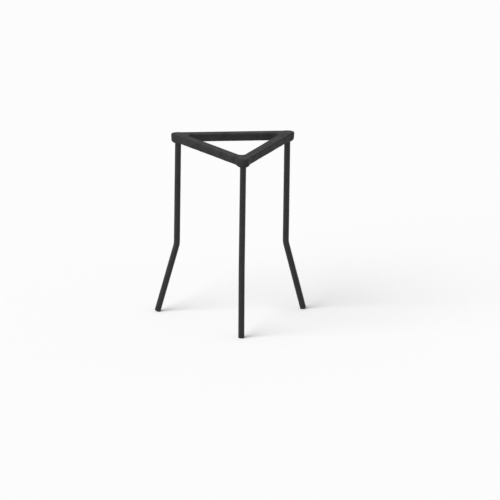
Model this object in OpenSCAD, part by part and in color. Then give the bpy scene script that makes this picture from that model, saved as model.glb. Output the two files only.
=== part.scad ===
// Tripod stand for a burner: a triangular iron top on three bent rods that are screwed into it.
// The bench is z = 0, the single front corner points to -Y, and the origin lies under the middle of
// the stand's outline.

/* [Top frame] */
// Height of the top face above the bench
stand_h = 210; // [150:1:300]
// Distance between the centres of any two bosses
leg_pitch = 125; // [90:1:180]
// Width of each bar
bar_w = 12; // [8:0.5:16]
// How far the bars' corners stand out past the centres of the bosses
corner_out = 2; // [0.5:0.5:4]
// Depth of each bar
bar_h = 9; // [6:0.5:14]
// Rounding along the edges of the bars
edge_r = 2; // [0.5:0.25:3]
// Radius of the opening's corners, seen from above
inner_corner_r = 4; // [2:0.5:12]

/* [Bosses] */
// Diameter of the boss at each corner
boss_d = 15; // [13:0.5:22]
// How far a boss hangs below the bars
boss_drop = 1.5; // [0.5:0.25:6]
// Rounding along the edges of the bosses
boss_edge_r = 2.5; // [0.5:0.25:3.5]
// Thickness of iron left above a leg's hole
boss_cap = 2; // [1:0.25:4]

/* [Legs] */
// Diameter of the rods
rod_d = 7; // [5:0.25:10]
// Step from the rod in to its thread, all round
shoulder = 0.25; // [0.25:0.25:1]
// Height above the bench where the two straight stretches of a rod would cross
knee_h = 80; // [50:1:110]
// Radius of the bend, along the middle of the rod
bend_r = 25; // [15:1:80]
// How much a rod is swollen through its bend, all round
bend_swell = 0.05; // [0.05:0.01:0.2]
// Bend of the two back legs, in degrees
back_bend = 15; // [5:0.5:25]
// How far the back legs' bends are turned towards the front, in degrees
back_turn = 30; // [0:1:45]
// Bend of the front leg, in degrees
front_bend = 4; // [3:0.5:25]
// How far the front leg's bend is turned towards the left, in degrees
front_turn = 0; // [0:1:30]
// Chamfer round the end of each foot
foot_chamfer = 0.6; // [0.25:0.05:1]

/* [Fits] */
// Clearance round a leg's thread
thread_clear = 0.05; // [0.02:0.01:0.1]
// Room left above the end of a leg's thread
thread_end_gap = 0.5; // [0.25:0.25:1]

/* [Hidden] */
$fn = 64;
IRON = "#2b2b2b";
STEEL = "#262626";
// A cut runs this far past the face that it opens, and a rod this far into its bend
past = 1;

corner_r = leg_pitch / sqrt(3);
bar_length = (corner_r + corner_out) * sqrt(3);
FRONT = -90;
BACK_LEFT = 150;
BACK_RIGHT = 30;

rod_r = rod_d / 2;
boss_h = bar_h + boss_drop;
hole_h = boss_h - boss_cap;
thread_d = rod_d - 2 * shoulder;
thread_h = hole_h - thread_end_gap;
seat_z = stand_h - boss_h;

// Half the angle between two bars, and how far from the corner the round inner corner has its centre. Its
// ends run a little way into the bars' sides, and its top and underside lie a hair inside theirs.
half_corner = 30;
web_lap = 0.15;
web_sink = 0.1;
web_centre = (bar_w / 2 + inner_corner_r - web_lap) / sin(half_corner);
bar_edge = min(edge_r, bar_h / 2 - 0.5, bar_w / 2 - 0.5);
boss_edge = min(boss_edge_r, boss_h / 2 - 0.5);
proud = 1.03;

// A leg's end is cut square to the rod, so it stands on the inner edge of its chamfered face
function foot_z(bend) = (rod_r - foot_chamfer) * sin(bend);
function foot_out(bend) = (knee_h - foot_z(bend)) * tan(bend);
function bend_start(bend) = bend_r * tan(bend / 2);

// How far the foot's rim reaches in a level direction at an angle to the bend
function rim_reach(bend, angle) = rod_r * sqrt(1 - pow(sin(bend) * cos(angle), 2));
function foot_reach(bend, angle) =
    (foot_out(bend) - foot_chamfer * sin(bend)) * cos(angle) + rim_reach(bend, angle);

// The outline's front is the front foot, and its back is a back foot, the boss above it or the back bar
front_reach = corner_r + foot_reach(front_bend, front_turn);
back_foot = foot_reach(back_bend, 90 - BACK_RIGHT + back_turn);
bar_back = corner_out * sin(BACK_RIGHT) + bar_w / 2 * proud;
back_reach = corner_r * sin(BACK_RIGHT) + max(boss_d / 2, back_foot, bar_back);
middle_y = (back_reach - front_reach) / 2;

module at_corner(angle) {
    translate([corner_r * cos(angle), corner_r * sin(angle) - middle_y, 0])
        rotate([0, 0, angle])
            children();
}

// Rectangle with round corners, its middle at the origin. Each round is a little too large and is trimmed by
// the rectangle, so that it meets the flats at a slight angle.
module rounded(width, height, round_r) {
    intersection() {
        square([width, height], center = true);
        union() {
            square([width - 2 * round_r, height], center = true);
            square([width, height - 2 * round_r], center = true);
            for (x = [-1, 1], y = [-1, 1])
                translate([x * (width / 2 - round_r), y * (height / 2 - round_r)])
                    circle(r = round_r * proud);
        }
    }
}

module at_bar_corner(angle) {
    at_corner(angle)
        translate([corner_out, 0, stand_h - bar_h / 2])
            children();
}

// Straight bar from the corner at `angle` to the next one round
module bar(angle) {
    at_bar_corner(angle)
        rotate([0, 0, 180 - half_corner])
            rotate([90, 0, 90])
                linear_extrude(bar_length)
                    rounded(bar_w, bar_h, bar_edge);
}

// Round outer corner between two bars, a hair wider than they are
module outer_corner(angle) {
    at_bar_corner(angle)
        rotate_extrude()
            intersection() {
                rounded(bar_w * proud, bar_h, bar_edge);
                translate([0, -bar_h])
                    square([bar_w, 2 * bar_h]);
            }
}

// Round inner corner: the inner half of a bar's section, a hair shallower, turned about the corner's centre
module inner_corner(angle) {
    at_bar_corner(angle)
        translate([-web_centre, 0, 0])
            rotate([0, 0, half_corner - 90])
                rotate_extrude(angle = 180 - 2 * half_corner)
                    translate([inner_corner_r + bar_w / 2, 0])
                        intersection() {
                            rounded(bar_w, bar_h - 2 * web_sink, bar_edge);
                            translate([-bar_w, -bar_h])
                                square([bar_w, 2 * bar_h]);
                        }
}

// Boss, turned from the outer half of its own rounded section
module boss(angle) {
    at_corner(angle)
        translate([0, 0, stand_h - boss_h / 2])
            rotate_extrude()
                intersection() {
                    rounded(boss_d, boss_h, boss_edge);
                    translate([0, -boss_h])
                        square([boss_d, 2 * boss_h]);
                }
}

module leg_hole(angle) {
    at_corner(angle)
        translate([0, 0, seat_z - past])
            cylinder(d = thread_d + 2 * thread_clear, h = hole_h + past);
}

module top_frame() {
    color(IRON)
        difference() {
            union() {
                for (angle = [FRONT, BACK_RIGHT, BACK_LEFT]) {
                    bar(angle);
                    outer_corner(angle);
                    inner_corner(angle);
                    boss(angle);
                }
            }
            for (angle = [FRONT, BACK_RIGHT, BACK_LEFT])
                leg_hole(angle);
        }
}

// Rod of a leg drawn along +Y, from its thread to its chamfered foot, with the bend's centre at the origin,
// so that one turn stands the finished leg up. The straight stretches run on into the swollen bend.
module bent_rod(upper_length, bend, lower_length) {
    translate([bend_r, -upper_length, 0])
        rotate([-90, 0, 0]) {
            cylinder(r = rod_r, h = upper_length + past);
            translate([0, 0, -thread_h])
                cylinder(d = thread_d, h = thread_h);
        }
    rotate_extrude(angle = bend)
        translate([bend_r, 0])
            circle(r = rod_r + bend_swell);
    rotate([0, 0, bend])
        translate([bend_r, 0, 0])
            rotate([-90, 0, 0]) {
                translate([0, 0, -past])
                    cylinder(r = rod_r, h = lower_length - foot_chamfer + past);
                translate([0, 0, lower_length - foot_chamfer])
                    cylinder(r1 = rod_r, r2 = rod_r - foot_chamfer, h = foot_chamfer);
            }
}

// Leg at a corner, screwed up to its shoulder, with its bend turned from straight outwards by `turn`
module leg(angle, bend, turn) {
    bend_top = knee_h + bend_start(bend);
    lower_length = (knee_h - foot_z(bend)) / cos(bend) - bend_start(bend);
    color(STEEL)
        at_corner(angle)
            rotate([0, 0, turn])
                translate([bend_r, 0, bend_top])
                    rotate([-90, 0, 180])
                        bent_rod(seat_z - bend_top, bend, lower_length);
}

module leg_front() {
    leg(FRONT, front_bend, -front_turn);
}

module leg_back_left() {
    leg(BACK_LEFT, back_bend, back_turn);
}

module leg_back_right() {
    leg(BACK_RIGHT, back_bend, -back_turn);
}

top_frame();
leg_front();
leg_back_left();
leg_back_right();
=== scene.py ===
# %% [markdown]
# # A lab tripod stand
#
# The stand holds a gauze or a dish over a burner. Its top is one small iron casting: three flat bars joined
# into a triangle, with a round boss under each corner. Three steel rods are screwed up into the bosses and
# bent outwards low down, so that the feet stand wider than the top. Everything is enamelled black.
#
# This lesson takes the measured model as a fixed frame and makes a finer skin for each of its four pieces:
# - the casting, from a rough shape built by Geometry Nodes, then skinned and settled on to a rule;
# - the three rods, swept along their bent paths by one node tree;
# - two enamels, one over sand-cast iron and one over drawn steel.

# %% Load the measured model
import math
import bmesh
import bpy
import numpy as np
from mathutils import Matrix, Vector, noise


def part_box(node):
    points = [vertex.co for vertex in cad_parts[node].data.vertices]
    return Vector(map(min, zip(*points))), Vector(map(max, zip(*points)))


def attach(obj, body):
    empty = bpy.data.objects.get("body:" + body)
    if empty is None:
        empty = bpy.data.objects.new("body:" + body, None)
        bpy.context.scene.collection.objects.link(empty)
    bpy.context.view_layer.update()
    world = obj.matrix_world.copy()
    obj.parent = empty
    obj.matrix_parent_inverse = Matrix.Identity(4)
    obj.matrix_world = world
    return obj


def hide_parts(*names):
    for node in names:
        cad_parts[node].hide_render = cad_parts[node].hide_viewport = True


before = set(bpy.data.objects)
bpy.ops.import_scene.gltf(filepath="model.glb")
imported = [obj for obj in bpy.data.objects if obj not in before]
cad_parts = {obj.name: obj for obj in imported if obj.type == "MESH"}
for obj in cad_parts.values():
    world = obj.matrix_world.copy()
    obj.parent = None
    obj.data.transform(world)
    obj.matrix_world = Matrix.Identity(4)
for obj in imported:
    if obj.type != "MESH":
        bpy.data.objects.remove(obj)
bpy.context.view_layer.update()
MM = 0.001
print("pieces:", sorted(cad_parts))

# %% [markdown]
# ## Sizes
#
# Blender's unit here is the metre, but a maker thinks in millimetres, so sizes are written in millimetres
# and multiplied by `MM`. The bars' corners stand out a little past the legs, so their triangle is larger than
# that of the legs. A leg's thread is left plain, as a core a little thinner than the rod.

# %% Sizes of the stand
CORNERS = 3
LEG_PITCH = 125 * MM
CORNER_OUT = 2 * MM
BAR_WIDTH = 12 * MM
BAR_DEPTH = 9 * MM
EDGE_ROUND = 2 * MM
INNER_ROUND = 4 * MM
BOSS_RADIUS = 7.5 * MM
ROD_RADIUS = 3.5 * MM
BEND_RADIUS = 25 * MM
KNEE_HEIGHT = 80 * MM
FOOT_CHAMFER = 0.6 * MM
CORE_RADIUS = 3.25 * MM
print("legs", LEG_PITCH / MM, "mm apart, bars", BAR_WIDTH / MM, "by", BAR_DEPTH / MM, "mm")

# %% [markdown]
# Places are read from the boxes of the measured pieces. The casting's box gives the middle of the triangle
# and the levels of its top and of its bosses, and a leg's box gives the level of its upper end. The three
# legs stand on a circle round the middle, the first one at the front.

# %% Places on the stand
casting_low, casting_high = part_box("top_frame")
TOP = casting_high[2]
SEAT = casting_low[2]
CORE_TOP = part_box("leg_front")[1][2]
middle_x = (casting_low[0] + casting_high[0]) / 2
leg_reach = LEG_PITCH / math.sqrt(3)
middle_y = casting_high[1] - BOSS_RADIUS - leg_reach / 2
CORNER_TURNS = {"leg_front": -90, "leg_back_right": 30, "leg_back_left": 150}
leg_places = {}
for name, turn in CORNER_TURNS.items():
    across = middle_x + leg_reach * math.cos(math.radians(turn))
    back = middle_y + leg_reach * math.sin(math.radians(turn))
    leg_places[name] = Vector((across, back))
print(f"front leg at y = {leg_places['leg_front'].y / MM:.1f} mm")
print(f"top at {TOP / MM:.1f} mm, bosses end at {SEAT / MM:.1f} mm")


# %% [markdown]
# ## Two small helpers
#
# Paint makers give colours as sRGB hex codes, while Blender's shaders work in linear light, so one function
# turns one into the other. The second adds a node to any tree, with its options, its values and its links
# in one line, which keeps the trees below readable.

# %% Colour and node helpers
def linear(hex_code):
    """An sRGB hex colour as linear red, green, blue and alpha."""
    parts = [int(hex_code[i : i + 2], 16) / 255 for i in (1, 3, 5)]
    return [p / 12.92 if p <= 0.04045 else ((p + 0.055) / 1.055) ** 2.4 for p in parts] + [1]


def add(tree, kind, inputs=None, **options):
    """Adds a node. `inputs` gives sockets, by name or number, a value or another node's output."""
    node = tree.nodes.new(kind)
    for name, value in options.items():
        setattr(node, name, value)
    for name, value in (inputs or {}).items():
        if isinstance(value, bpy.types.NodeSocket):
            tree.links.new(value, node.inputs[name])
        else:
            node.inputs[name].default_value = value
    return node


print("black enamel, linear:", [round(v, 4) for v in linear("#202020")])

# %% [markdown]
# ## Camera
#
# The stand is seen from far off through a long lens, a little to the left of its front corner and from
# above. A long lens keeps the three legs nearly parallel. The camera is built from three directions: where it
# looks, what is right, and what is up, and it is rolled by less than a degree. A camera's sensor and lens are
# in millimetres, and its distances in metres.

# %% Camera
VIEW_TURN = math.radians(6.52)
VIEW_RISE = math.radians(15.84)
VIEW_ROLL = math.radians(0.81)
VIEW_DISTANCE = 12.0
SENSOR = 36
LENS = 759.7
FARTHEST_SEEN = 60
AIM_RIGHT = 17.31 * MM
AIM_DOWN = 22.42 * MM

forward = Vector((
    math.sin(VIEW_TURN) * math.cos(VIEW_RISE),
    math.cos(VIEW_TURN) * math.cos(VIEW_RISE),
    -math.sin(VIEW_RISE),
))
right = Vector((math.cos(VIEW_TURN), -math.sin(VIEW_TURN), 0))
up = right.cross(forward)
aim = Vector((middle_x, middle_y, TOP / 2)) + right * AIM_RIGHT - up * AIM_DOWN
turned_right = right * math.cos(VIEW_ROLL) + up * math.sin(VIEW_ROLL)
turned_up = up * math.cos(VIEW_ROLL) - right * math.sin(VIEW_ROLL)

camera = bpy.data.objects.new("camera", bpy.data.cameras.new("camera"))
bpy.context.collection.objects.link(camera)
camera.data.sensor_width = SENSOR
camera.data.lens = LENS
camera.data.clip_end = FARTHEST_SEEN
looking = Matrix((turned_right, turned_up, -forward)).transposed().to_4x4()
camera.matrix_world = Matrix.Translation(aim - forward * VIEW_DISTANCE) @ looking
bpy.context.scene.camera = camera
print("camera stands at", [round(v, 3) for v in camera.location])

# %% [markdown]
# ## Light
#
# The studio is white all round. The camera and the reflections see that white at full strength, while the
# light that falls on the stand from it is weaker, because the rest comes from one very large, soft lamp
# above and to the left. A sun with a wide angle does for the lamp: its light is the same all over the floor.
# Together they light a level surface with a strength of about 1, at which a colour renders as it is written.

# %% White room
bpy.context.scene.view_settings.view_transform = "Standard"
ROOM_LIGHT = 0.45
SEEN_LIGHT = 1.0
WHITE = linear("#ffffff")

world = bpy.data.worlds.new("white_studio")
bpy.context.scene.world = world
world.use_nodes = True
sky = world.node_tree
sky.nodes.clear()
ray = add(sky, "ShaderNodeLightPath")
mirror_ray = add(
    sky, "ShaderNodeMath",
    {0: ray.outputs["Is Glossy Ray"], 1: ray.outputs["Is Transmission Ray"]}, operation="MAXIMUM")
seen_ray = add(
    sky, "ShaderNodeMath",
    {0: ray.outputs["Is Camera Ray"], 1: mirror_ray.outputs[0]}, operation="MAXIMUM")
lighting = add(sky, "ShaderNodeBackground", {"Color": WHITE, "Strength": ROOM_LIGHT})
backdrop = add(sky, "ShaderNodeBackground", {"Color": WHITE, "Strength": SEEN_LIGHT})
either = add(
    sky, "ShaderNodeMixShader",
    {0: seen_ray.outputs[0], 1: lighting.outputs[0], 2: backdrop.outputs[0]})
add(sky, "ShaderNodeOutputWorld", {"Surface": either.outputs[0]})
print("the room is seen at", SEEN_LIGHT, "and lights with", ROOM_LIGHT)

# %% [markdown]
# A sun's strength is the light on a surface that faces it. The floor is lit at a slant, so its share is less
# by the height of the lamp's direction, and the strength is divided by that. The pi is how Blender counts.

# %% Soft lamp
LAMP_LIGHT = 0.6
LAMP_ANGLE = math.radians(50)

lamp = bpy.data.objects.new("soft_lamp", bpy.data.lights.new("soft_lamp", "SUN"))
bpy.context.collection.objects.link(lamp)
lamp_from = Vector((-1.0, -0.65, 1.0)).normalized()
lamp.rotation_euler = lamp_from.to_track_quat("Z", "Y").to_euler()
lamp.data.angle = LAMP_ANGLE
lamp.data.energy = math.pi * LAMP_LIGHT / lamp_from.z
print("level light, room and lamp:", ROOM_LIGHT + LAMP_LIGHT)

# %% [markdown]
# ## Floor
#
# A plain pale floor, much larger than the stand, so that its edge never shows. It takes the soft shadow.

# %% Floor
FLOOR_SIZE = 60

paper = bpy.data.materials.new("pale_paper")
paper.use_nodes = True
sheet = paper.node_tree.nodes["Principled BSDF"]
sheet.inputs["Base Color"].default_value = linear("#f7f7f7")
sheet.inputs["Roughness"].default_value = 1.0
sheet.inputs["Specular IOR Level"].default_value = 0.0
bpy.ops.mesh.primitive_plane_add(size=FLOOR_SIZE)
floor = bpy.context.object
floor.name = "floor"
floor.data.materials.append(paper)
print("floor laid,", FLOOR_SIZE, "m across")


# %% [markdown]
# ## Enamel over sand-cast iron
#
# The top was poured in a sand mould, so its skin is a little rough and uneven: the print of the sand, with
# shallow hollows a few millimetres across where the sand gave way. It was then dipped or sprayed with black
# enamel. Enamel is a glossy resin filled with black pigment; over a rough casting it scatters the light and
# looks satin to matt.
#
# - colour: a near-black, a shade greyer where the coat is thin over a high spot or the tops of the grains;
# - sand print: real grains are 0.2 to 0.3 mm, too fine to show from here, so they are drawn 1.1 mm across;
# - hollows: 5 mm across, which is common on so small a casting;
# - shine: very weak, because the rough coat takes the mirror out of the enamel.
#
# Sizes become noise scales by one over the size, because Object coordinates are in metres.

# %% Colour and shine of the casting
GRAIN = 1.1 * MM
GRAIN_SHARE = 0.4
HOLLOW = 5 * MM
CLOUD = 16 * MM
CAST_DARK, CAST_PALE = "#202020", "#323232"
CAST_SMOOTHEST, CAST_ROUGHEST = 0.52, 0.68
CAST_SHINE = 0.08


def new_finish(name):
    """An empty material with a Principled shader: returns the material, its tree and the shader."""
    material = bpy.data.materials.new(name)
    material.use_nodes = True
    return material, material.node_tree, material.node_tree.nodes["Principled BSDF"]


cast_enamel, tree, shader = new_finish("black_enamel_on_cast_iron")
place = add(tree, "ShaderNodeTexCoord").outputs["Object"]
grain = add(
    tree, "ShaderNodeTexNoise",
    {"Vector": place, "Scale": 1 / GRAIN, "Detail": 3.0, "Roughness": 0.6})
hollow = add(
    tree, "ShaderNodeTexNoise",
    {"Vector": place, "Scale": 1 / HOLLOW, "Detail": 2.0, "Roughness": 0.5})
cloud = add(
    tree, "ShaderNodeTexNoise",
    {"Vector": place, "Scale": 1 / CLOUD, "Detail": 3.0, "Roughness": 0.55})
worn = add(
    tree, "ShaderNodeMix",
    {"Factor": GRAIN_SHARE, 2: cloud.outputs["Fac"], 3: grain.outputs["Fac"]})
tone = add(tree, "ShaderNodeValToRGB", {"Fac": worn.outputs[0]})
tone.color_ramp.elements[0].position = 0.35
tone.color_ramp.elements[0].color = linear(CAST_DARK)
tone.color_ramp.elements[1].position = 0.65
tone.color_ramp.elements[1].color = linear(CAST_PALE)
tree.links.new(tone.outputs["Color"], shader.inputs["Base Color"])
sheen = add(
    tree, "ShaderNodeMapRange",
    {"Value": hollow.outputs["Fac"], "From Min": 0.3, "From Max": 0.7,
     "To Min": CAST_SMOOTHEST, "To Max": CAST_ROUGHEST})
tree.links.new(sheen.outputs["Result"], shader.inputs["Roughness"])
shader.inputs["Specular IOR Level"].default_value = CAST_SHINE
print("cast iron from", CAST_DARK, "to", CAST_PALE, "and grains", GRAIN / MM, "mm across")

# %% [markdown]
# The bumps lie one on the other: the hollows first, then the print of the sand on them. A bump's distance is
# its real height, so that is given in millimetres too.

# %% Bumps of the casting
GRAIN_HEIGHT = 0.16 * MM
HOLLOW_DEPTH = 0.35 * MM

dents = add(
    tree, "ShaderNodeBump",
    {"Height": hollow.outputs["Fac"], "Strength": 1.0, "Distance": HOLLOW_DEPTH})
print_of_sand = add(
    tree, "ShaderNodeBump",
    {"Height": grain.outputs["Fac"], "Strength": 1.0, "Distance": GRAIN_HEIGHT,
     "Normal": dents.outputs["Normal"]})
tree.links.new(print_of_sand.outputs["Normal"], shader.inputs["Normal"])
print(cast_enamel.name, "has", len(tree.nodes), "nodes")

# %% [markdown]
# ## Enamel over drawn steel
#
# The legs are bright-drawn mild steel rod: the die leaves fine lines along it. The same black enamel covers
# them, thinner and smoother than on the casting, so they are a little glossier. The lines follow the rod
# round its bend, so they can't use Object coordinates. They read the piece's own attribute `unbent`, which
# keeps where each point was on the rod before it was bent. Real drawing lines are finer than 0.1 mm, too fine
# to show, so they are drawn 0.5 mm apart here.

# %% Material for the rods
LINE = 0.5 * MM
LINE_LENGTH = 30 * MM
LINE_DEPTH = 0.05 * MM
COAT = 9 * MM
COAT_HEIGHT = 0.12 * MM
ROD_DARK, ROD_PALE = "#1b1b1b", "#242424"
ROD_SMOOTHEST, ROD_ROUGHEST = 0.4, 0.52
ROD_SHINE = 0.25

rod_enamel, tree, shader = new_finish("black_enamel_on_drawn_steel")
unbent = add(tree, "ShaderNodeAttribute", attribute_name="unbent").outputs["Vector"]
stretch = add(
    tree, "ShaderNodeMapping", {"Vector": unbent, "Scale": (1 / LINE, 1 / LINE, 1 / LINE_LENGTH)})
lines = add(
    tree, "ShaderNodeTexNoise",
    {"Vector": stretch.outputs["Vector"], "Scale": 1.0, "Detail": 2.0, "Roughness": 0.5})
coat = add(
    tree, "ShaderNodeTexNoise",
    {"Vector": unbent, "Scale": 1 / COAT, "Detail": 3.0, "Roughness": 0.55})
tone = add(tree, "ShaderNodeValToRGB", {"Fac": coat.outputs["Fac"]})
tone.color_ramp.elements[0].position = 0.3
tone.color_ramp.elements[0].color = linear(ROD_DARK)
tone.color_ramp.elements[1].position = 0.7
tone.color_ramp.elements[1].color = linear(ROD_PALE)
tree.links.new(tone.outputs["Color"], shader.inputs["Base Color"])
sheen = add(
    tree, "ShaderNodeMapRange",
    {"Value": coat.outputs["Fac"], "From Min": 0.3, "From Max": 0.7,
     "To Min": ROD_SMOOTHEST, "To Max": ROD_ROUGHEST})
tree.links.new(sheen.outputs["Result"], shader.inputs["Roughness"])
orange_peel = add(
    tree, "ShaderNodeBump", {"Height": coat.outputs["Fac"], "Strength": 1.0, "Distance": COAT_HEIGHT})
drawn_lines = add(
    tree, "ShaderNodeBump",
    {"Height": lines.outputs["Fac"], "Strength": 1.0, "Distance": LINE_DEPTH,
     "Normal": orange_peel.outputs["Normal"]})
tree.links.new(drawn_lines.outputs["Normal"], shader.inputs["Normal"])
shader.inputs["Specular IOR Level"].default_value = ROD_SHINE
print(rod_enamel.name, "has", len(tree.nodes), "nodes")

# %% [markdown]
# ## The casting, first as a rough shape
#
# A pattern maker would glue the pattern up from three equal corners, and so does this node tree. Each corner
# is a boss, a bar that runs to the next corner, a round end, and an arc of bar that rounds the opening's
# corner. It is made once, in a frame where the leg is at the origin and +X points outwards, and placed three
# times on the corners of a circle with three vertices.
#
# The tree's sizes are named inputs, so it could make another stand's top as well.

# %% Inputs of the casting's tree
casting_tree = bpy.data.node_groups.new("rough_casting", "GeometryNodeTree")
casting_sizes = {
    "Leg reach": leg_reach, "Corner out": CORNER_OUT,
    "Bar width": BAR_WIDTH, "Bar depth": BAR_DEPTH, "Edge round": EDGE_ROUND, "Inner round": INNER_ROUND,
    "Boss radius": BOSS_RADIUS, "Boss depth": TOP - SEAT, "Top": TOP,
}


def tree_input(tree, name, kind):
    """A named input of a node tree; returns the identifier by which a modifier sets it."""
    return tree.interface.new_socket(name, in_out="INPUT", socket_type=kind).identifier


casting_keys = {name: tree_input(casting_tree, name, "NodeSocketFloat") for name in casting_sizes}
casting_keys["Middle"] = tree_input(casting_tree, "Middle", "NodeSocketVector")
casting_keys["Finish"] = tree_input(casting_tree, "Finish", "NodeSocketMaterial")
casting_tree.interface.new_socket("Casting", in_out="OUTPUT", socket_type="NodeSocketGeometry")
size = add(casting_tree, "NodeGroupInput").outputs
print("the casting's inputs:", ", ".join(casting_keys))


# %% [markdown]
# A bar is its section, swept along a straight line: an upright rectangle with round corners. It leaves its
# corner at 150 degrees from straight outwards and ends at the next corner, which lies the square root of 3
# times as far off as the middle of the stand does. The same section swept along an arc rounds the opening's
# corner, and a plain cylinder closes the corner on its outer side. These are made at half the bars' depth.

# %% A bar, an arc and a round end
HALF_CORNER = 30
ROUND_SIDES = 64
EDGE_STEPS = 6
ARC_STEPS = 24

section = add(
    casting_tree, "GeometryNodeCurvePrimitiveQuadrilateral",
    {"Width": size["Bar width"], "Height": size["Bar depth"]})
section = add(
    casting_tree, "GeometryNodeFilletCurve",
    {"Curve": section.outputs[0], "Count": EDGE_STEPS, "Radius": size["Edge round"]}, mode="POLY")

bar_heading = math.radians(180 - HALF_CORNER)
next_corner = (math.sqrt(3) * math.cos(bar_heading), math.sqrt(3) * math.sin(bar_heading), 0)
bars_reach = add(
    casting_tree, "ShaderNodeMath", {0: size["Leg reach"], 1: size["Corner out"]}, operation="ADD")
far_end = add(
    casting_tree, "ShaderNodeVectorMath",
    {0: next_corner, "Scale": bars_reach.outputs[0]}, operation="SCALE")
bar_path = add(casting_tree, "GeometryNodeCurvePrimitiveLine", {"End": far_end.outputs[0]})
bar = add(
    casting_tree, "GeometryNodeCurveToMesh",
    {"Curve": bar_path.outputs[0], "Profile Curve": section.outputs[0], "Fill Caps": True})

arc_radius = add(
    casting_tree, "ShaderNodeMath",
    {0: size["Bar width"], 1: 0.5, 2: size["Inner round"]}, operation="MULTIPLY_ADD").outputs[0]
arc_path = add(casting_tree, "GeometryNodeCurveArc", {
    "Resolution": ARC_STEPS, "Radius": arc_radius,
    "Start Angle": math.radians(HALF_CORNER - 90),
    "Sweep Angle": math.radians(180 - 2 * HALF_CORNER)}, mode="RADIUS")
arc = add(
    casting_tree, "GeometryNodeCurveToMesh",
    {"Curve": arc_path.outputs[0], "Profile Curve": section.outputs[0], "Fill Caps": True})
arc_middle = (-1 / math.sin(math.radians(HALF_CORNER)), 0, 0)
arc_shift = add(
    casting_tree, "ShaderNodeVectorMath", {0: arc_middle, "Scale": arc_radius}, operation="SCALE")
arc = add(
    casting_tree, "GeometryNodeTransform",
    {"Geometry": arc.outputs[0], "Translation": arc_shift.outputs[0]})

half_width = add(
    casting_tree, "ShaderNodeMath", {0: size["Bar width"], 1: 0.5}, operation="MULTIPLY")
bar_end = add(
    casting_tree, "GeometryNodeMeshCylinder",
    {"Vertices": ROUND_SIDES, "Radius": half_width.outputs[0], "Depth": size["Bar depth"]})
print("bars, arcs and ends:", len(casting_tree.nodes), "nodes")

# %% [markdown]
# The bars, arcs and ends stand out a little past the leg and are level with the top. The boss has the leg in
# its middle and hangs lower. Together they are one corner, and three corners stand round the middle of the
# stand. A circle starts at +X, so the ring is turned to put its first corner at the front.

# %% One corner of the casting
bars = add(casting_tree, "GeometryNodeJoinGeometry")
for part in (bar, arc, bar_end):
    casting_tree.links.new(part.outputs[0], bars.inputs[0])
bar_middle = add(
    casting_tree, "ShaderNodeMath",
    {0: size["Bar depth"], 1: -0.5, 2: size["Top"]}, operation="MULTIPLY_ADD")
bars_place = add(
    casting_tree, "ShaderNodeCombineXYZ", {"X": size["Corner out"], "Z": bar_middle.outputs[0]})
bars = add(
    casting_tree, "GeometryNodeTransform",
    {"Geometry": bars.outputs[0], "Translation": bars_place.outputs[0]})

boss = add(
    casting_tree, "GeometryNodeMeshCylinder",
    {"Vertices": ROUND_SIDES, "Radius": size["Boss radius"], "Depth": size["Boss depth"]})
boss_middle = add(
    casting_tree, "ShaderNodeMath",
    {0: size["Boss depth"], 1: -0.5, 2: size["Top"]}, operation="MULTIPLY_ADD")
boss_place = add(casting_tree, "ShaderNodeCombineXYZ", {"Z": boss_middle.outputs[0]})
boss = add(
    casting_tree, "GeometryNodeTransform",
    {"Geometry": boss.outputs["Mesh"], "Translation": boss_place.outputs[0]})
corner = add(casting_tree, "GeometryNodeJoinGeometry")
for part in (bars, boss):
    casting_tree.links.new(part.outputs[0], corner.inputs[0])
print("with a boss:", len(casting_tree.nodes), "nodes")

# %% Three corners make the rough casting
ring = add(
    casting_tree, "GeometryNodeMeshCircle", {"Vertices": CORNERS, "Radius": size["Leg reach"]})
index = add(casting_tree, "GeometryNodeInputIndex").outputs[0]
one_corner_on = (0, 0, math.radians(360 / CORNERS))
corner_turn = add(
    casting_tree, "ShaderNodeVectorMath", {0: one_corner_on, "Scale": index}, operation="SCALE")
placed = add(
    casting_tree, "GeometryNodeInstanceOnPoints",
    {"Points": ring.outputs[0], "Instance": corner.outputs[0], "Rotation": corner_turn.outputs[0]})
to_front = (0, 0, math.radians(CORNER_TURNS["leg_front"]))
turned = add(
    casting_tree, "GeometryNodeTransform",
    {"Geometry": placed.outputs[0], "Translation": size["Middle"], "Rotation": to_front})
solid = add(casting_tree, "GeometryNodeRealizeInstances", {"Geometry": turned.outputs[0]})
finished = add(
    casting_tree, "GeometryNodeSetMaterial",
    {"Geometry": solid.outputs[0], "Material": size["Finish"]})
add(casting_tree, "NodeGroupOutput", {0: finished.outputs[0]})
print("rough casting tree:", len(casting_tree.nodes), "nodes")


# %% [markdown]
# A modifier runs the tree. Its inputs are set by their identifiers before the object is first evaluated, and
# the result is taken off as a plain mesh, so that no modifier is left. A cylinder that nodes make brings an
# empty material slot of its own, which the faces of a later cut would get. So the slots are made anew, with
# the finish as the only one.

# %% Run a tree and keep its mesh
def grow(name, tree, keys, values):
    """Runs a node tree on an empty mesh and returns its result as a plain object at the origin."""
    seed = bpy.data.objects.new("seed_" + name, bpy.data.meshes.new("seed_" + name))
    bpy.context.collection.objects.link(seed)
    modifier = seed.modifiers.new("grow", "NODES")
    modifier.node_group = tree
    for label, value in values.items():
        modifier[keys[label]] = value
    evaluated = seed.evaluated_get(bpy.context.evaluated_depsgraph_get())
    mesh = bpy.data.meshes.new_from_object(evaluated)
    mesh.name = name
    mesh.materials.clear()
    mesh.materials.append(values["Finish"])
    bpy.data.objects.remove(seed)
    piece = bpy.data.objects.new(name, mesh)
    bpy.context.collection.objects.link(piece)
    return piece


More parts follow.
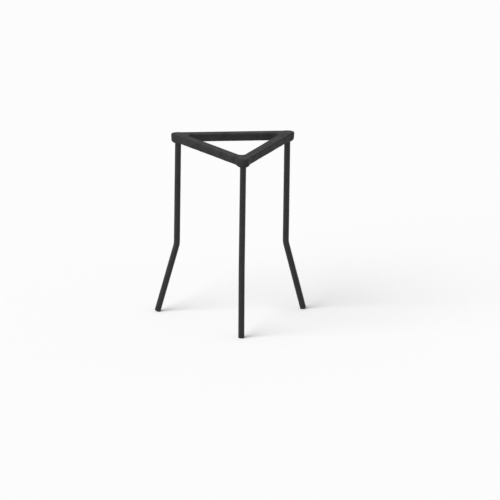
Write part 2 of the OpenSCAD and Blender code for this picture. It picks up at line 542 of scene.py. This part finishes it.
casting = grow(
    "iron_top", casting_tree, casting_keys,
    {**casting_sizes, "Middle": (middle_x, middle_y, 0), "Finish": cast_enamel})
print("rough casting:", len(casting.data.vertices), "vertices")
print("its size in mm:", [round(side / MM, 1) for side in casting.dimensions])

# %% [markdown]
# ## One skin over the rough casting
#
# The rough shape is twelve solids pushed into each other: three bars, arcs, round ends and bosses. A voxel
# remesh melts them into one closed skin of even quads, but it rounds the edges as it likes and knows nothing
# of fillets.

# %% Skin
VOXEL = 0.6 * MM
casting.data.remesh_voxel_size = VOXEL
casting.data.remesh_voxel_adaptivity = 0
bpy.context.view_layer.objects.active = casting
casting.select_set(True)
bpy.ops.object.voxel_remesh()
casting.select_set(False)
print("skin:", len(casting.data.vertices), "vertices")


# %% [markdown]
# ## The rule of the casting
#
# So the skin is settled on to a rule that says, for any point, about how far it lies outside the iron. Seen
# from above, the bars are a triangle with round outer corners, less a triangle with round inner corners.
# Three bosses hang lower, and a fillet blends each into the bars, as a pattern maker rubs one in with wax.
# Every side leans in towards the underside by a few degrees. That is the pattern's draft, without which it
# couldn't be lifted out of the sand. All of it is cut level at the top, and where a side meets the top or
# the underside, the edge is rounded.

# %% What the rule is made of
SIDE_TURNS = [math.radians(turn) for turn in (90, 210, 330)]


def off_triangle(x, y, apothem):
    """Distance outside an upright triangle whose sides lie `apothem` from its middle; negative inside."""
    half = apothem * math.sqrt(3)
    nearest = np.full(len(x), np.inf)
    outside = np.full(len(x), -np.inf)
    for turn in SIDE_TURNS:
        out = x * math.cos(turn) + y * math.sin(turn) - apothem
        along = y * math.cos(turn) - x * math.sin(turn)
        nearest = np.minimum(nearest, np.hypot(out, np.maximum(np.abs(along) - half, 0)))
        outside = np.maximum(outside, out)
    return np.where(outside > 0, nearest, -nearest)


def blend(a, b, width):
    """The smaller of two distances, with the crease between them filled by a fillet of about that width."""
    overlap = np.maximum(width - np.abs(a - b), 0) / width
    return np.minimum(a, b) - overlap * overlap * width / 4


def round_edge(a, b, radius):
    """Where two faces meet, a rounded edge: each distance is negative inside its face."""
    a, b = a + radius, b + radius
    return np.hypot(np.maximum(a, 0), np.maximum(b, 0)) + np.minimum(np.maximum(a, b), 0) - radius


print(f"a corner that is rounded by 2 mm loses {round_edge(0.0, 0.0, 2.0):.2f} mm")


# %% Distance outside the iron
DRAFT = math.tan(math.radians(3))
BOSS_ROUND = 3 * MM
BOSS_FILLET = 2 * MM
TOP_ROUND = 1.5 * MM


def from_boss(points):
    """Distance from the axis of the nearest boss."""
    return np.min([np.hypot(points[:, 0] - c.x, points[:, 1] - c.y) for c in leg_places.values()], axis=0)


def outside_iron(points):
    """About how far each point lies outside the casting; negative inside."""
    x, y, z = points[:, 0] - middle_x, points[:, 1] - middle_y, points[:, 2]
    apothem = (leg_reach + CORNER_OUT) / 2
    outline = off_triangle(x, y, apothem) - BAR_WIDTH / 2
    opening = off_triangle(x, y, apothem - BAR_WIDTH / 2 - INNER_ROUND) - INNER_ROUND
    lean = DRAFT * (TOP - z)
    bars = round_edge(np.maximum(outline, -opening) + lean, TOP - BAR_DEPTH - z, EDGE_ROUND)
    bosses = round_edge(from_boss(points) - BOSS_RADIUS + lean, SEAT - z, BOSS_ROUND)
    return round_edge(blend(bars, bosses, BOSS_FILLET), z - TOP, TOP_ROUND)


in_the_opening = np.array([[middle_x, middle_y, TOP]])
print(f"the middle of the opening is {outside_iron(in_the_opening)[0] / MM:.1f} mm from the iron")


# %% [markdown]
# Each point of the skin then walks down the rule's slope until the rule says zero. A few rounds bring all of
# them there. On a crease the slope is small, and a floor under it keeps a point from being thrown far away.

# %% Settle the skin on to the rule
STEP = 0.05 * MM
ROUNDS = 6
LEAST_SLOPE_SQUARED = 0.25


def outward(points):
    """The rule's slope at each point: the way out of the iron, with its steepness."""
    slopes = [outside_iron(points + STEP * axis) - outside_iron(points - STEP * axis) for axis in np.eye(3)]
    return np.stack(slopes, axis=1) / (2 * STEP)


count = len(casting.data.vertices)
skin = np.empty(count * 3)
casting.data.vertices.foreach_get("co", skin)
skin = skin.reshape(count, 3)
before = np.abs(outside_iron(skin)).max()
for _ in range(ROUNDS):
    slope = outward(skin)
    steepness = np.maximum((slope**2).sum(axis=1), LEAST_SLOPE_SQUARED)
    skin -= slope * (outside_iron(skin) / steepness)[:, None]
after = np.abs(outside_iron(skin)).max()
print(f"furthest from the rule: {before / MM:.2f} mm, then {after / MM:.4f} mm")


# %% [markdown]
# A real casting is never as true as its rule. The sand gives a little, so the sides and the underside swim
# in and out by a tenth of a millimetre or so over a centimetre. The top was rubbed level, so the unevenness
# fades out where the skin faces up. It also fades out round each leg, where its shoulder presses on the boss.

# %% Unevenness of the casting
SWIM = 0.13 * MM
SWIM_SIZE = 11 * MM
SWIM_SHIFT = 7.3
LUMP = 0.06 * MM
LUMP_SIZE = 4 * MM
LUMP_SHIFT = 31.9
FACING_UP = 0.5
FACING_UP_FADE = 0.4
TRUE_ROUND_LEG = 4.5 * MM
ROUND_LEG_FADE = 1.5 * MM
TINY = 0.001


def lumps_at(points, lump_size, shift):
    """Smooth noise from about -1 to 1 at each point, with lumps of the given size."""
    return np.array([noise.noise(Vector(p) / lump_size + Vector((shift, 0, 0))) for p in points])


way_out = outward(skin)
way_out /= np.maximum(np.linalg.norm(way_out, axis=1), TINY)[:, None]
uneven = SWIM * lumps_at(skin, SWIM_SIZE, SWIM_SHIFT)
uneven += LUMP * lumps_at(skin, LUMP_SIZE, LUMP_SHIFT)
uneven *= 1 - np.clip((way_out[:, 2] - FACING_UP) / FACING_UP_FADE, 0, 1)
uneven *= np.clip((from_boss(skin) - TRUE_ROUND_LEG) / ROUND_LEG_FADE, 0, 1)
skin += way_out * uneven[:, None]
casting.data.vertices.foreach_set("co", skin.ravel())
casting.data.shade_smooth()
casting.data.update()
print(f"unevenness from {uneven.min() / MM:.2f} to {uneven.max() / MM:.2f} mm")

# %% [markdown]
# ## Holes for the legs
#
# Each boss is drilled from below and tapped, and a leg's threaded end goes up into the hole. Nothing of this
# shows once the legs are in, so the threads are left out, but the casting should be hollow where the steel
# is. A Boolean modifier takes three plain cylinders out of it, each a hair wider and longer than a leg's
# core. They start below the boss, because two faces that lie exactly in one plane confuse a Boolean.

# %% Drill the bosses
HOLE_CLEARANCE = 0.05 * MM
HOLE_SPARE = 0.5 * MM
BELOW_BOSS = 1 * MM
HOLE_RIM = math.radians(60)

drill = bmesh.new()
hole_radius = CORE_RADIUS + HOLE_CLEARANCE
hole_low, hole_high = SEAT - BELOW_BOSS, CORE_TOP + HOLE_SPARE
for stand in leg_places.values():
    bmesh.ops.create_cone(
        drill, cap_ends=True, segments=ROUND_SIDES, radius1=hole_radius, radius2=hole_radius,
        depth=hole_high - hole_low,
        matrix=Matrix.Translation((stand.x, stand.y, (hole_low + hole_high) / 2)))
bits = bpy.data.objects.new("drill_bits", bpy.data.meshes.new("drill_bits"))
bpy.context.collection.objects.link(bits)
drill.to_mesh(bits.data)
drill.free()
cut = casting.modifiers.new("drill", "BOOLEAN")
cut.operation = "DIFFERENCE"
cut.solver = "EXACT"
cut.object = bits
drilled = bpy.data.meshes.new_from_object(casting.evaluated_get(bpy.context.evaluated_depsgraph_get()))
casting.modifiers.clear()
casting.data = drilled
drilled.shade_smooth()
drilled.set_sharp_from_angle(angle=HOLE_RIM)
bpy.data.objects.remove(bits)
print("drilled casting:", len(drilled.vertices), "vertices")
print("sharp edges, all in the holes:", sum(edge.use_edge_sharp for edge in drilled.edges))


# %% [markdown]
# ## The legs
#
# A leg is a straight rod, turned down to a thread at its top and bent once over a former. The path is drawn
# as the bender thinks of it: top, knee, foot, with the knee rounded by a fillet whose radius is that of the
# former. One node tree sweeps a circle along it.

# %% Inputs of the rod's tree, and the bent path
BEND_STEPS = 16

rod_tree = bpy.data.node_groups.new("bent_rod", "GeometryNodeTree")
rod_keys = {name: tree_input(rod_tree, name, "NodeSocketVector") for name in ("Shoulder", "Knee", "Foot")}
for name in ("Rod radius", "Bend radius"):
    rod_keys[name] = tree_input(rod_tree, name, "NodeSocketFloat")
rod_keys["Finish"] = tree_input(rod_tree, "Finish", "NodeSocketMaterial")
rod_tree.interface.new_socket("Rod", in_out="OUTPUT", socket_type="NodeSocketGeometry")
size = add(rod_tree, "NodeGroupInput").outputs

line = add(
    rod_tree, "GeometryNodeCurvePrimitiveLine", {"Start": size["Shoulder"], "End": size["Foot"]})
three_points = add(
    rod_tree, "GeometryNodeResampleCurve", {"Curve": line.outputs[0], "Count": 3}, mode="COUNT")
index = add(rod_tree, "GeometryNodeInputIndex").outputs[0]
middle_point = add(
    rod_tree, "FunctionNodeCompare", {2: index, 3: 1}, data_type="INT", operation="EQUAL")
kinked = add(
    rod_tree, "GeometryNodeSetPosition",
    {"Geometry": three_points.outputs[0], "Selection": middle_point.outputs[0],
     "Position": size["Knee"]})
bent = add(
    rod_tree, "GeometryNodeFilletCurve",
    {"Curve": kinked.outputs[0], "Count": BEND_STEPS, "Radius": size["Bend radius"]}, mode="POLY")
print("the rod's inputs:", ", ".join(rod_keys))

# %% [markdown]
# The enamel's drawing lines need to know where each point was on the straight rod. Before the sweep, the path
# stores how far along it each point is, and the circle stores where on its round each point is. The sweep
# hands both on to the mesh, where they are put together as `unbent`.

# %% Sweep the rod and keep where it was
along = add(rod_tree, "GeometryNodeSplineParameter").outputs["Length"]
path = add(
    rod_tree, "GeometryNodeStoreNamedAttribute",
    {"Geometry": bent.outputs[0], "Name": "along", "Value": along},
    data_type="FLOAT", domain="POINT")
circle = add(
    rod_tree, "GeometryNodeCurvePrimitiveCircle",
    {"Resolution": ROUND_SIDES, "Radius": size["Rod radius"]})
round_place = add(rod_tree, "GeometryNodeInputPosition").outputs[0]
profile = add(
    rod_tree, "GeometryNodeStoreNamedAttribute",
    {"Geometry": circle.outputs[0], "Name": "across", "Value": round_place},
    data_type="FLOAT_VECTOR", domain="POINT")
swept = add(
    rod_tree, "GeometryNodeCurveToMesh",
    {"Curve": path.outputs[0], "Profile Curve": profile.outputs[0], "Fill Caps": True})

stored_across = add(
    rod_tree, "GeometryNodeInputNamedAttribute", {"Name": "across"}, data_type="FLOAT_VECTOR")
across = add(rod_tree, "ShaderNodeSeparateXYZ", {0: stored_across.outputs[0]})
down = add(
    rod_tree, "GeometryNodeInputNamedAttribute", {"Name": "along"}, data_type="FLOAT").outputs[0]
straight = add(
    rod_tree, "ShaderNodeCombineXYZ", {"X": across.outputs[0], "Y": across.outputs[1], "Z": down})
kept = add(
    rod_tree, "GeometryNodeStoreNamedAttribute",
    {"Geometry": swept.outputs[0], "Name": "unbent", "Value": straight.outputs[0]},
    data_type="FLOAT_VECTOR", domain="POINT")
whole = add(rod_tree, "GeometryNodeRealizeInstances", {"Geometry": kept.outputs[0]})
finished = add(
    rod_tree, "GeometryNodeSetMaterial",
    {"Geometry": whole.outputs[0], "Material": size["Finish"]})
add(rod_tree, "NodeGroupOutput", {0: finished.outputs[0]})
print("bent rod tree:", len(rod_tree.nodes), "nodes")


# %% [markdown]
# The two ends are turned afterwards, as on a lathe. The top is stepped down to the core that goes up into the
# boss, and the rim of the foot is eased. The two round ends are the only faces with more than four corners.

# %% Turn the ends of a rod
FOOT_STEPS = 3
ROD_RIM = math.radians(40)


def turn_ends(piece):
    """Steps the top of a rod down to its core and eases the rim of its foot."""
    cut = bmesh.new()
    cut.from_mesh(piece.data)
    caps = sorted((f for f in cut.faces if len(f.verts) > 4), key=lambda f: f.calc_center_median().z)
    foot_cap, top_cap = caps[0], caps[-1]
    bmesh.ops.inset_region(
        cut, faces=[top_cap], thickness=ROD_RADIUS - CORE_RADIUS, use_even_offset=True)
    core = bmesh.ops.extrude_discrete_faces(cut, faces=[top_cap])["faces"][0]
    bmesh.ops.translate(cut, verts=core.verts, vec=(0, 0, CORE_TOP - SEAT))
    bmesh.ops.bevel(
        cut, geom=list(foot_cap.edges), offset=FOOT_CHAMFER, segments=FOOT_STEPS, profile=0.5,
        affect="EDGES")
    bmesh.ops.recalc_face_normals(cut, faces=cut.faces)
    cut.to_mesh(piece.data)
    cut.free()
    piece.data.shade_smooth()
    piece.data.set_sharp_from_angle(angle=ROD_RIM)


print(f"a rod's shoulder is {(ROD_RADIUS - CORE_RADIUS) / MM:.2f} mm wide")

# %% [markdown]
# The two back legs are bent 15 degrees straight to the sides; the front leg has only a slight bend. A leg's
# foot is cut square to the rod, so it stands on the inner edge of its rim, and the middle of the end face is
# a hair above the bench.

# %% Make the three legs
# For each leg, its bend and how far that is turned from straight outwards, in degrees
BENDS = {"leg_front": (4.0, 0), "leg_back_right": (15.0, -30), "leg_back_left": (15.0, 30)}
legs = {}
for node, (bend_degrees, twist) in BENDS.items():
    bend = math.radians(bend_degrees)
    heading = math.radians(CORNER_TURNS[node] + twist)
    foot_height = (ROD_RADIUS - FOOT_CHAMFER) * math.sin(bend)
    reach = (KNEE_HEIGHT - foot_height) * math.tan(bend)
    stand = leg_places[node]
    shoulder = (stand.x, stand.y, SEAT)
    knee = (stand.x, stand.y, KNEE_HEIGHT)
    foot = (stand.x + reach * math.cos(heading), stand.y + reach * math.sin(heading), foot_height)
    leg = grow("steel_" + node, rod_tree, rod_keys, {
        "Shoulder": shoulder, "Knee": knee, "Foot": foot,
        "Rod radius": ROD_RADIUS, "Bend radius": BEND_RADIUS, "Finish": rod_enamel})
    turn_ends(leg)
    legs[node] = leg
    measured_low, measured_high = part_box(node)
    low = [min(v.co[i] for v in leg.data.vertices) for i in range(3)]
    high = [max(v.co[i] for v in leg.data.vertices) for i in range(3)]
    off_low = [round((mine - cad) / MM, 2) for mine, cad in zip(low, measured_low)]
    off_high = [round((mine - cad) / MM, 2) for mine, cad in zip(high, measured_high)]
    print(node, len(leg.data.polygons), "faces, off the measured box by", off_low, off_high, "mm")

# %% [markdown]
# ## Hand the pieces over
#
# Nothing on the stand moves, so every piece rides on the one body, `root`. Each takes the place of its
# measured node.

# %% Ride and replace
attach(casting, "root")
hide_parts("top_frame")
for node, leg in legs.items():
    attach(leg, "root")
    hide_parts(node)
for piece in (casting, *legs.values()):
    print(piece.name, sum(len(face.vertices) - 2 for face in piece.data.polygons), "triangles")
bpy.context.view_layer.update()
